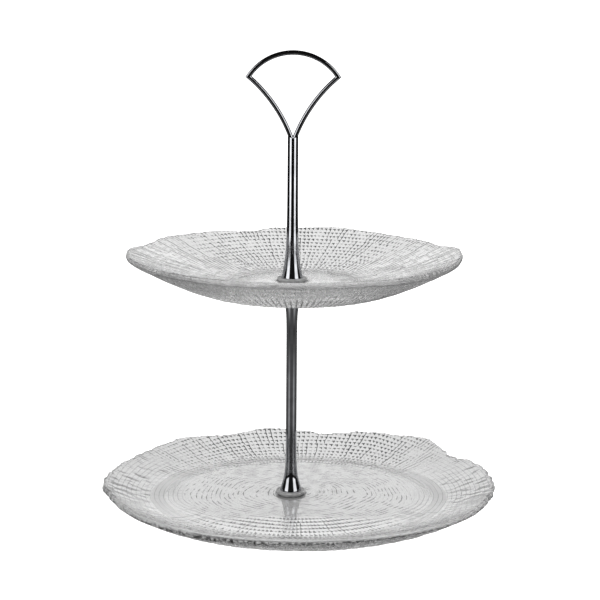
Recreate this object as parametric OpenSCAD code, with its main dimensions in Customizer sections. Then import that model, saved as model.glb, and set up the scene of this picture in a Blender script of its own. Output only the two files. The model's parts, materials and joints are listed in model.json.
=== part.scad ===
// Two-tier cake stand, in millimetres. Two clear textured glass plates sit on a slim metal post with
// trumpet feet, and a fan-shaped lifting loop tops it. +Z is up, z = 0 is the table and x = y = 0 is
// the post's axis. The loop's flat side faces -Y.

/* [Lower plate] */
// Mean radius of the lower plate's uneven rim
lower_r = 150; // [135:1:170]
// Radius of the lower plate's flat floor
lower_floor_r = 106; // [90:1:112]
// Height of the lower plate's rim above its floor
lower_rise = 11.5; // [6:0.5:20]
// Outer radius of the lower plate's foot ring
lower_ring_r = 114; // [100:1:122]
// How far the lower plate's middle lies off the post's axis, towards +X
lower_off = 6; // [-8:0.5:8]

/* [Upper plate] */
// Mean radius of the upper plate's uneven rim
upper_r = 125; // [110:1:140]
// Radius of the upper plate's flat floor
upper_floor_r = 52; // [40:1:58]
// Height of the upper plate's rim above its floor
upper_rise = 21.5; // [12:0.5:30]
// Outer radius of the upper plate's foot ring
upper_ring_r = 62; // [50:1:70]
// How far the upper plate's middle lies off the post's axis, towards +X
upper_off = 2.5; // [-5:0.5:5]

/* [Glass] */
// Thickness of the glass at the floor
floor_t = 4; // [3:0.5:6]
// Thickness of the glass at the rim, measured upright
rim_t = 4; // [3:0.5:6]
// Height of the foot rings below the floor's underside
ring_h = 4.6; // [4.2:0.1:8]
// Width of the foot rings
ring_w = 7; // [4:0.5:10]
// How much the walls bow: 1 is a straight cone
bow = 1.35; // [1:0.05:1.6]
// Radius of the hole in the middle of each plate
hole_r = 5; // [4:0.1:7]
// Depth of the shallow seat pressed into each floor for the foot gasket
seat_h = 0.3; // [0.2:0.1:0.6]

/* [Post] */
// Length of the lower post
lower_post_l = 156; // [120:1:220]
// Length of the upper post
upper_post_l = 106.5; // [80:0.5:160]
// Radius of the posts between their flares
post_r = 4.1; // [3.8:0.1:5]
// Radius of the upper post at its top
post_top_r = 3.9; // [3.5:0.1:5]
// Radius of the posts' trumpet feet
flare_r = 8.3; // [7:0.1:12]
// Height over which the lower post's flares fade by about two thirds
lower_flare_h = 10; // [6:0.5:16]
// Height over which the upper post's foot flare fades by about two thirds
upper_flare_h = 14; // [8:0.5:20]

/* [Lifting loop] */
// Radius of the loop's arched top
arch_r = 41.5; // [32:0.5:55]
// Height of the arch's centre above the top of the post
arch_h = 21.4; // [16:0.1:30]
// Radius of the loop's two hollow sides
side_r = 107; // [80:1:140]
// Half the width of the loop across its two outer corners
corner_x = 35.4; // [28:0.1:42]
// Width of the loop's bar, seen from the front
bar_w = 3.6; // [2.5:0.1:4.5]
// Depth of the loop's bar, front to back
bar_d = 4; // [3:0.1:6]
// Depth of the rounded saddle that the loop's root sits in
saddle_h = 1.5; // [1:0.1:2.5]

/* [Soft gaskets] */
// Radius of the gaskets
gasket_r = 11.4; // [9:0.1:14]
// Thickness of the three gaskets next to the posts, above or below the plates' faces
gasket_t = 2.6; // [1.5:0.1:4]
// Thickness of the gasket under the lower plate
thin_gasket_t = 1.2; // [0.8:0.1:1.4]
// Gap left between the hubs of the two gaskets that meet in a plate's hole
hub_gap = 0.5; // [0.3:0.1:1.5]
// Radius taken off the gaskets' outer edges
gasket_edge = 0.5; // [0.2:0.1:0.6]

/* [Screws] */
// Radius of the M5 screw and stud
thread_r = 2.5; // [2:0.5:3]
// Length of thread held in each end of a post
thread_l = 8; // [6:1:12]
// Depth of a threaded hole past the end of its screw
hole_spare = 2; // [1:0.5:4]
// Radius of the base screw's head
head_r = 5; // [4.5:0.1:7]
// Height of the base screw's head
head_h = 1.9; // [1.5:0.1:2]
// Width across the flats of the head's hexagon socket
socket_w = 3; // [2.5:0.5:4]
// Radius of the steel washer
washer_r = 8.5; // [7:0.1:11]
// Thickness of the steel washer
washer_t = 0.8; // [0.5:0.1:1]

/* [Clearances] */
// Radial clearance of a screw in its threaded hole
thread_gap = 0.05; // [0.02:0.01:0.1]
// Radial clearance of the gaskets in the plates and round the screws
soft_gap = 0.3; // [0.2:0.05:0.5]

/* [Hidden] */
$fn = 96;

// How far the rims stand in or out of their mean radius: [angle from +X, offset]
lower_rim = [[0, -1], [14, 0], [25, -1], [31, -5], [38, -3], [42, 4], [48, 7], [60, 4], [69, 3],
    [76, -1], [81, -4], [90, 0], [99, 4], [113, -2], [130, 3], [143, -1], [154, -3], [170, -2],
    [184, -1], [200, -6], [221, -7], [238, -5], [256, 0], [273, 2], [288, 4], [306, 4], [323, 0],
    [339, -3], [350, -2], [360, -1]];
upper_rim = [[0, 0], [12, 2], [24, -3], [36, -2], [48, -2], [62, 0], [76, 3], [90, 1], [98, 1],
    [108, -3], [122, 0], [145, 1], [160, -2], [176, 2], [192, 1], [206, -3], [226, 2], [250, 0],
    [270, 1], [290, 1], [310, -2], [335, -4], [350, -2], [360, 0]];
rim_step = 4;            // angle between the points of a rim's outline
rim_spare = 14;          // how far the walls' profile runs past the mean rim before the outline trims it
wall_steps = 9;          // straight steps in a wall's curve
flare_steps = 14;        // straight steps in a post's flare
lower_fade = 1.4;        // how suddenly the lower post's flares fade
upper_fade = 1.05;       // how suddenly the upper post's flare fades
cut = 1;                 // how far a cutting tool runs past the face that it cuts

// Heights of the stack above the table
lower_under = ring_h;
lower_floor = lower_under + floor_t;
lower_post_z = lower_floor + gasket_t;
lower_post_top = lower_post_z + lower_post_l;
upper_under = lower_post_top + gasket_t;
upper_floor = upper_under + floor_t;
upper_post_z = upper_floor + gasket_t;
upper_post_top = upper_post_z + upper_post_l;
washer_z = lower_under - thin_gasket_t - washer_t;
head_z = washer_z - head_h;
arch_z = upper_post_top + arch_h;

// Length of the gaskets' hubs that centre them in the plates' holes
hub_l = (floor_t - seat_h - hub_gap) / 2;

// Radius of the saddle's arc, whose ends meet the post's sides at its top
saddle_r = (post_top_r * post_top_r + saddle_h * saddle_h) / (2 * saddle_h);
saddle_z = upper_post_top - saddle_h + saddle_r;

// Centre of the right hollow side: it passes through the outer corner and the post's top edge
corner_z = sqrt(arch_r * arch_r - corner_x * corner_x);
side_dx = corner_x - post_top_r;
side_dz = arch_h + corner_z;
side_chord = norm([side_dx, side_dz]);
side_back = sqrt(side_r * side_r - side_chord * side_chord / 4);
side_x = (corner_x + post_top_r) / 2 + side_back * side_dz / side_chord;
side_z = upper_post_top + side_dz / 2 - side_back * side_dx / side_chord;

// Smooth value at angle a between the points of a [angle, value] list
function blend(t) = (1 - cos(180 * t)) / 2;
function rim_offset(list, a, i = 0) =
    a <= list[i + 1][0]
        ? list[i][1] + (list[i + 1][1] - list[i][1])
            * blend((a - list[i][0]) / (list[i + 1][0] - list[i][0]))
        : rim_offset(list, a, i + 1);

// Height of a bowed wall that starts at radius r0 and has risen by rise at radius r1
function wall_z(r, r0, r1, rise) = rise * pow((r - r0) / (r1 - r0), bow);
function wall(r0, r1, rise) = [for (i = [0:wall_steps])
    let (r = r0 + (r1 + rim_spare - r0) * i / wall_steps) [r, wall_z(r, r0, r1, rise)]];
function reversed(list) = [for (i = [len(list) - 1:-1:0]) list[i]];

// Post radius at height h above the wide end of a flare
function flare(h, flare_h, fade) = (flare_r - post_r) * exp(-pow(h / flare_h, fade));

// Heights of a flare's steps, closer together near its wide end
function flare_at(length) = [for (i = [0:flare_steps]) length * pow(i / flare_steps, 1.6)];

module plate_outline(rim_r, rim_list)
    polygon([for (a = [0:rim_step:359])
        let (r = rim_r + rim_offset(rim_list, a)) [r * cos(a), r * sin(a)]]);

module plate(floor_z, rim_r, floor_r, rise, ring_r, off, rim_list) {
    depth = floor_t + ring_h;
    inside = wall(floor_r, rim_r, rise);
    outside = [for (p = wall(ring_r, rim_r, rise - rim_t + depth)) [p[0], p[1] - depth]];
    translate([0, 0, floor_z])
    difference() {
        translate([off, 0, 0])
        intersection() {
            rotate_extrude()
                polygon(concat([[0, -floor_t], [0, 0]], inside, reversed(outside),
                    [[ring_r - ring_w, -depth], [ring_r - ring_w, -floor_t]]));
            translate([0, 0, -depth - cut])
                linear_extrude(depth + 2 * rise + 2 * cut)
                    plate_outline(rim_r, rim_list);
        }
        translate([0, 0, -floor_t - cut])
            cylinder(r = hole_r, h = floor_t + 2 * cut);
        translate([0, 0, -seat_h])
            cylinder(r = gasket_r + soft_gap, h = seat_h + cut);
    }
}

module lower_plate()
    color([0.82, 0.86, 0.87, 0.6])
        plate(lower_floor, lower_r, lower_floor_r, lower_rise, lower_ring_r, lower_off, lower_rim);

module upper_plate()
    color([0.82, 0.86, 0.87, 0.6])
        plate(upper_floor, upper_r, upper_floor_r, upper_rise, upper_ring_r, upper_off, upper_rim);

// A blind hole from z upwards, or downwards when length is negative
module blind_hole(z, r, length)
    translate([0, 0, min(z, z + length) - (length > 0 ? cut : 0)])
        cylinder(r = r, h = abs(length) + cut);

module lower_post() {
    half = lower_post_l / 2;
    foot = [for (h = flare_at(half)) [post_r + flare(h, lower_flare_h, lower_fade), h]];
    head = [for (p = reversed(foot)) [p[0], lower_post_l - p[1]]];
    color([0.2, 0.2, 0.21])
    difference() {
        translate([0, 0, lower_post_z])
            rotate_extrude()
                polygon(concat([[0, 0]], foot, head, [[0, lower_post_l]]));
        blind_hole(lower_post_z, thread_r + thread_gap, thread_l + hole_spare);
        blind_hole(lower_post_top, thread_r, -thread_l);
    }
}

// The saddle between the upper post and the loop's root: a round bar lying front to back
module saddle(length)
    translate([0, length / 2, saddle_z])
        rotate([90, 0, 0])
            cylinder(r = saddle_r, h = length);

module upper_post() {
    taper = (post_top_r - post_r) / upper_post_l;
    side = [for (h = flare_at(upper_post_l))
        [post_r + taper * h + flare(h, upper_flare_h, upper_fade), h]];
    color([0.2, 0.2, 0.21])
    difference() {
        translate([0, 0, upper_post_z])
            rotate_extrude()
                polygon(concat([[0, 0]], side, [[0, upper_post_l]]));
        blind_hole(upper_post_z, thread_r + thread_gap, thread_l + hole_spare);
        saddle(2 * post_r + 2 * cut);
    }
}

// The fan's outline, drawn inset from its outer edge: an arch over two hollow sides
module fan(inset)
    difference() {
        translate([0, arch_z])
            circle(r = arch_r - inset);
        for (side = [-1, 1])
            translate([side * side_x, side_z])
                circle(r = side_r + inset);
        translate([-arch_r, upper_post_top - 2 * arch_r])
            square([2 * arch_r, 2 * arch_r]);
    }

module handle_loop()
    color([0.16, 0.16, 0.17])
    translate([0, bar_d / 2, 0])
        rotate([90, 0, 0])
            linear_extrude(bar_d) {
                difference() {
                    fan(0);
                    fan(bar_w);
                }
                intersection() {
                    translate([0, saddle_z])
                        circle(r = saddle_r);
                    translate([-post_top_r, upper_post_top - saddle_h])
                        square([2 * post_top_r, saddle_h + bar_w / 4]);
                }
            }

module tier_stud()
    color([0.55, 0.56, 0.58])
        translate([0, 0, lower_post_top - thread_l])
            cylinder(r = thread_r, h = upper_post_z - lower_post_top + 2 * thread_l);

module base_screw()
    color([0.55, 0.56, 0.58])
    difference() {
        union() {
            translate([0, 0, head_z])
                cylinder(r = head_r, h = head_h);
            translate([0, 0, washer_z])
                cylinder(r = thread_r, h = lower_post_z + thread_l - washer_z);
        }
        translate([0, 0, head_z - cut])
            cylinder(d = socket_w / cos(30), h = cut + head_h * 2 / 3, $fn = 6);
    }

module base_washer()
    color([0.7, 0.71, 0.72])
        translate([0, 0, washer_z])
            difference() {
                cylinder(r = washer_r, h = washer_t);
                translate([0, 0, -cut])
                    cylinder(r = thread_r + soft_gap, h = washer_t + 2 * cut);
            }

// A soft disc from z = 0 up to thickness t, with a hub on top that reaches into a plate's hole
module gasket(t, hub)
    rotate_extrude()
        polygon([[thread_r + soft_gap, 0], [gasket_r - gasket_edge, 0], [gasket_r, gasket_edge],
            [gasket_r, t - gasket_edge], [gasket_r - gasket_edge, t], [hole_r - soft_gap, t],
            [hole_r - soft_gap, t + hub], [thread_r + soft_gap, t + hub]]);

// The gasket under a post's foot, lying in the plate's seat
module foot_gasket(floor_z)
    color([0.75, 0.76, 0.76, 0.7])
        translate([0, 0, floor_z + gasket_t])
            mirror([0, 0, 1])
                gasket(gasket_t + seat_h, hub_l);

module under_gasket(under_z, t)
    color([0.75, 0.76, 0.76, 0.7])
        translate([0, 0, under_z - t])
            gasket(t, hub_l);

lower_plate();
upper_plate();
lower_post();
upper_post();
handle_loop();
tier_stud();
base_screw();
base_washer();
under_gasket(lower_under, thin_gasket_t);  // lower_under_gasket
foot_gasket(lower_floor);  // lower_foot_gasket
under_gasket(upper_under, gasket_t);  // upper_under_gasket
foot_gasket(upper_floor);  // upper_foot_gasket
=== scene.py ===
# Two-tier cake stand: clear pressed-glass plates with a woven relief on a slim black nickel post with
# trumpet feet, topped by a fan-shaped lifting loop. Everything is in metres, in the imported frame.
import json
import math

import bpy
import numpy as np
from mathutils import Matrix, Vector, noise


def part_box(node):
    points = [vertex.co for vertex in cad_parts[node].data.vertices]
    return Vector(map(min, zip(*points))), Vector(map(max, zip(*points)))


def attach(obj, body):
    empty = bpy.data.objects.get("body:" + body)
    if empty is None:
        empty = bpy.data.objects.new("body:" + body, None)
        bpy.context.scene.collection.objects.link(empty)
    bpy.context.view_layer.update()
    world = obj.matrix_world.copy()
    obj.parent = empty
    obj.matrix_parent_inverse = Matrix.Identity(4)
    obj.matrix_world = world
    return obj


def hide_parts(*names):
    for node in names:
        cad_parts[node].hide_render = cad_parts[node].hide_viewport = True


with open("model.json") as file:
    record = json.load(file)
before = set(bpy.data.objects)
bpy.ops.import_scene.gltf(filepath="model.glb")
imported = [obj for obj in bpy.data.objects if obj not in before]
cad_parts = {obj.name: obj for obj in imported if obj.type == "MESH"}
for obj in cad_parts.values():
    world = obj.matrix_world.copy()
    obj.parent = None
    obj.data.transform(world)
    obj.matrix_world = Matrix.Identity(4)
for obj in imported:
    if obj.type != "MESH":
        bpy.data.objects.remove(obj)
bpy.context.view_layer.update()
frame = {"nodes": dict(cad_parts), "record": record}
mm = 0.001

# ------------------------------------------------------------------------------
# Base screw: an M5 cap screw that comes up through the lower plate and holds the post. It is headed
# and rolled from steel wire and plated with bright zinc, so its thread shows fine bright ridges.

thread_r = 2.5 * mm
thread_pitch = 0.8 * mm
thread_depth = 0.45 * mm
head_r = 5 * mm
head_h = 1.9 * mm
socket_w = 3 * mm


def linear(hex_colour):
    """An sRGB hex colour as a linear RGBA tuple."""
    values = [int(hex_colour[i:i + 2], 16) / 255 for i in (1, 3, 5)]
    return tuple(v / 12.92 if v <= 0.04045 else ((v + 0.055) / 1.055) ** 2.4 for v in values) + (1.0,)


def add(tree, kind, links=None, stops=(), **settings):
    """Adds a node, gives it its settings and colour stops, and sets or links its inputs."""
    node = tree.nodes.new("ShaderNode" + kind)
    for name, value in settings.items():
        setattr(node, name, value)
    for i, (at, colour) in enumerate(stops):
        node.color_ramp.elements[i].position = at
        node.color_ramp.elements[i].color = linear(colour)
    for name, value in (links or {}).items():
        if isinstance(value, bpy.types.Node):
            value = value.outputs[0]
        if isinstance(value, bpy.types.NodeSocket):
            tree.links.new(value, node.inputs[name])
        else:
            node.inputs[name].default_value = value
    return node


def new_finish(name):
    """A new material, with its node tree, its main shader and the place of its patterns on the piece.
    A pattern's scale is the number of its grains or waves to a millimetre."""
    material = bpy.data.materials.new(name)
    material.use_nodes = True
    tree = material.node_tree
    return material, tree, tree.nodes["Principled BSDF"], add(tree, "TexCoord").outputs["Object"]


def set_finish(tree, shader, colour, roughness, relief, amounts):
    """Gives a finish its colour, roughness and relief, and its other amounts."""
    for name, source in (("Base Color", colour), ("Roughness", roughness), ("Normal", relief)):
        tree.links.new(source.outputs[0], shader.inputs[name])
    for name, amount in amounts.items():
        shader.inputs[name].default_value = amount


def turned(name, profile, sides=64, closed=False):
    """A piece turned about the post's axis, from (radius, height) points along its outline. A radius is
    a number or a function of the angles, and a radius of 0 closes the piece at the axis."""
    angles = np.arange(sides) * 2 * math.pi / sides
    points, faces, rings = [], [], []
    for radius, z in profile:
        start = len(points)
        if not callable(radius) and radius == 0:
            points.append((0, 0, z))
            rings.append([start])
            continue
        r = radius(angles) if callable(radius) else np.full(sides, radius)
        points.extend(zip(r * np.cos(angles), r * np.sin(angles), np.full(sides, z)))
        rings.append(list(range(start, start + sides)))
    pairs = list(zip(rings, rings[1:] + ([rings[0]] if closed else [])))
    for low, high in pairs:
        for i in range(sides):
            j = (i + 1) % sides
            quad = [low[i % len(low)], low[j % len(low)], high[j % len(high)], high[i % len(high)]]
            faces.append(list(dict.fromkeys(quad)))
    return finished(name, points, faces)


def finished(name, points, faces, crease=35):
    """An object from points and faces, shaded smooth but for edges sharper than crease degrees."""
    mesh = bpy.data.meshes.new(name)
    mesh.from_pydata([tuple(map(float, p)) for p in points], [], faces)
    mesh.polygons.foreach_set("use_smooth", [True] * len(mesh.polygons))
    mesh.set_sharp_from_angle(angle=math.radians(crease))
    mesh.update()
    piece = bpy.data.objects.new(name, mesh)
    bpy.context.scene.collection.objects.link(piece)
    return piece


def thread(z0, z1):
    """Outline of a right-hand M5 thread from z0 up to z1, chamfered at both ends."""
    steps = max(2, round((z1 - z0) / (thread_pitch / 8)))
    outline = []
    for i in range(steps + 1):
        z = z0 + (z1 - z0) * i / steps
        ease = min(1.0, (z - z0) / (0.6 * mm) + 0.35, (z1 - z) / (0.6 * mm) + 0.35)

        def radius(angles, z=z, ease=ease):
            phase = (z / thread_pitch - angles / (2 * math.pi)) % 1
            ridge = 1 - np.abs(2 * phase - 1)
            return (thread_r - thread_depth) + thread_depth * ease * np.clip(1.25 * ridge, 0, 1)

        outline.append((radius, z))
    return outline


def hexagon(width):
    """Radius of a hexagon of this width across its flats, at each angle."""
    return lambda angles: width / 2 / np.cos((angles % (math.pi / 3)) - math.pi / 6)


# Bright zinc plate on steel: a bluish white metal, slightly cloudy from the plating bath
zinc, tree, shader, place = new_finish("bright_zinc_plated_steel")
cloud = add(tree, "TexNoise", {"Vector": place, "Scale": 0.9 / mm, "Detail": 3})
tone = add(tree, "ValToRGB", {"Fac": cloud}, stops=((0.3, "#9EA1A6"), (0.7, "#C9CCD0")))
gloss = add(tree, "MapRange", {"Value": cloud, "To Min": 0.2, "To Max": 0.36})
grain = add(tree, "TexNoise", {"Vector": place, "Scale": 4 / mm, "Detail": 2})
relief = add(tree, "Bump", {"Height": grain, "Distance": 0.03 * mm, "Strength": 0.4})
set_finish(tree, shader, tone, gloss, relief, {"Metallic": 1})

washer_low, washer_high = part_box("base_washer")
screw_low, screw_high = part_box("base_screw")
head_z = screw_low.z
edge = 0.25 * mm
screw_profile = [
    (0, head_z + head_h * 0.62),
    (hexagon(socket_w), head_z + head_h * 0.62),
    (hexagon(socket_w), head_z + 0.15 * mm),
    (hexagon(socket_w + 0.3 * mm), head_z),
    (head_r - 2 * edge, head_z),
    (head_r - edge, head_z + 0.07 * mm),
    (head_r, head_z + edge),
    (head_r, washer_low.z - 0.1 * mm),
    (head_r - 0.1 * mm, washer_low.z),
    (thread_r - 0.05 * mm, washer_low.z),
] + thread(washer_low.z + 0.3 * mm, screw_high.z - 0.01 * mm) + [(0, screw_high.z)]
screw = turned("base_cap_screw", screw_profile, sides=48)
screw.data.materials.append(zinc)
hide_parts("base_screw")
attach(screw, "base_fixing")

# ------------------------------------------------------------------------------
# Washer: a plain washer stamped from steel strip and zinc plated. Stamping leaves its upper edge
# rounded and its lower edge sharp, and it spreads the screw's pull over the gasket above it.

washer_r = (washer_high.x - washer_low.x) / 2
bore_r = thread_r + 0.3 * mm
washer = turned("base_washer_stamped", [
    (bore_r, washer_low.z + 0.05 * mm),
    (bore_r + 0.05 * mm, washer_low.z),
    (washer_r - 0.05 * mm, washer_low.z),
    (washer_r, washer_low.z + 0.05 * mm),
    (washer_r, washer_high.z - 0.25 * mm),
    (washer_r - 0.07 * mm, washer_high.z - 0.08 * mm),
    (washer_r - 0.25 * mm, washer_high.z),
    (bore_r + 0.2 * mm, washer_high.z),
    (bore_r, washer_high.z - 0.2 * mm),
], sides=64, closed=True)
washer.data.materials.append(zinc)
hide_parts("base_washer")
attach(washer, "base_fixing")

# ------------------------------------------------------------------------------
# Gaskets: soft clear vinyl rings that keep metal off glass, two at each plate. They are moulded, with
# a rounded bead round the edge. The two under the posts have a shallow cup that the post's foot sits in.

# Clear plasticised vinyl: milky grey where it is thick, with a soft sheen and a slightly rippled skin
vinyl, tree, shader, place = new_finish("clear_moulded_vinyl")
ripple = add(tree, "TexNoise", {"Vector": place, "Scale": 0.35 / mm, "Detail": 4})
tone = add(tree, "ValToRGB", {"Fac": ripple}, stops=((0.35, "#B4B4B4"), (0.7, "#DADADA")))
gloss = add(tree, "MapRange", {"Value": ripple, "To Min": 0.22, "To Max": 0.4})
relief = add(tree, "Bump", {"Height": ripple, "Distance": 0.12 * mm, "Strength": 0.5})
set_finish(tree, shader, tone, gloss, relief, {"Transmission Weight": 0.55, "IOR": 1.46})


def gasket(name, node, body, cupped):
    """A gasket ring in its solid's place. Its hub points away from the post, into the plate's hole, and
    a cupped one has a raised lip round the post's foot."""
    low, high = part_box(node)
    r = (high.x - low.x) / 2
    hub_r = 4.7 * mm
    face, back = (high.z, low.z + 1.6 * mm) if cupped else (low.z, high.z - 1.6 * mm)
    hub = low.z if cupped else high.z
    up = 1 if cupped else -1
    t = abs(face - back)
    bead = 0.5 * mm if cupped else 0.42 * t
    outline = [(2.8 * mm, hub + 0.15 * mm * up), (2.95 * mm, hub), (hub_r - 0.3 * mm, hub),
               (hub_r, hub + 0.3 * mm * up), (hub_r, back)]
    foot = 8.55 * mm
    if cupped:
        outline += [(r - 1.9 * mm, back), (r - 1.6 * mm, back + 0.2 * mm)]
        for i in range(13):
            a = math.radians(-25 + 195 * i / 12)
            outline.append((r - bead + bead * math.cos(a), face - bead + bead * math.sin(a)))
        outline += [(foot + 0.5 * mm, face - 0.55 * mm), (foot, face - 0.45 * mm)]
    else:
        for i in range(17):
            a = -math.pi / 2 + math.pi * i / 16
            up_or_down = back + up * bead if i < 8 else face - up * bead
            outline.append((r - bead + bead * math.cos(a), up_or_down + up * bead * math.sin(a)))
    outline += [(foot - 0.4 * mm, face - 0.02 * mm * up),
                (3.0 * mm, face - 0.02 * mm * up), (2.8 * mm, face - 0.2 * mm * up)]
    ring = turned(name, outline, sides=96, closed=True)
    if not cupped:
        ring.data.flip_normals()
    ring.data.materials.append(vinyl)
    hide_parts(node)
    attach(ring, body)
    return ring


gasket("lower_under_gasket_ring", "lower_under_gasket", "lower_tier", cupped=False)
gasket("lower_foot_gasket_ring", "lower_foot_gasket", "lower_seat", cupped=True)
gasket("upper_under_gasket_ring", "upper_under_gasket", "lower_column", cupped=False)
gasket("upper_foot_gasket_ring", "upper_foot_gasket", "upper_seat", cupped=True)

# ------------------------------------------------------------------------------
# Plates: clear soda-lime glass pressed in a mould whose face copies a coiled basket. The wall carries
# rows of stitches, the floor softer swirls, the underside a rough cast skin, and the rim is fire
# polished to a round, uneven edge.

glass_t = 4 * mm
wall_bow = 1.35
ring_w = 7 * mm
hole_r = 5 * mm
seat_r = 11.7 * mm
seat_h = 0.3 * mm
rim_round = 1.7 * mm
row_w = 5.4 * mm
floor_row_w = 8 * mm
grain_w = 3.6 * mm
rough_w = 6 * mm
weave_fade_w = 14 * mm
weave_reach = 26 * mm
cord_h = 0.05 * mm
swirl_h = 0.02 * mm
flute_h = 0.15 * mm
flute_count = 140
slope_w = 5 * mm
warp_w, small_warp_w, grain_warp_w = 45 * mm, 14 * mm, 38 * mm
rim_wave, rim_nick = 0.06, 0.025  # as shares of the plate's radius

# The plate's rings of points: the steps between them, the radii up to which fewer points do, and where
# they shift from the post's middle to the plate's
floor_step, wall_step, under_step = 1.4 * mm, 1.35 * mm, 2.1 * mm
few_r, some_r = 26 * mm, 56 * mm
shift_r, shift_w = 16 * mm, 32 * mm
fine_count = 840


def eased(share):
    """A share from 0 to 1 with a soft start and a soft end."""
    return share * share * (3 - 2 * share)


def outline_of(node, middle):
    """The uneven rim of a plate, as radii about its middle at fine_count angles, read from its solid."""
    solid = frame["nodes"][node].data
    points = np.empty(len(solid.vertices) * 3)
    solid.vertices.foreach_get("co", points)
    points = points.reshape(-1, 3)
    x, y = points[:, 0] - middle, points[:, 1]
    r, a = np.hypot(x, y), np.degrees(np.arctan2(y, x)) % 360
    knots = np.arange(0, 360, 4)
    radii = np.array([r[np.abs((a - k + 180) % 360 - 180) < 0.5].max() for k in knots])
    wave = np.fft.rfft(radii)
    full = np.zeros(fine_count // 2 + 1, complex)
    full[:len(wave)] = wave
    return np.fft.irfft(full, fine_count) * fine_count / len(knots)


def ripple_field(x, y, size, seed):
    """Smooth noise of this size, from -1 to 1, at each point."""
    return np.array([noise.noise(Vector((u / size, v / size, seed))) for u, v in zip(x, y)])


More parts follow.
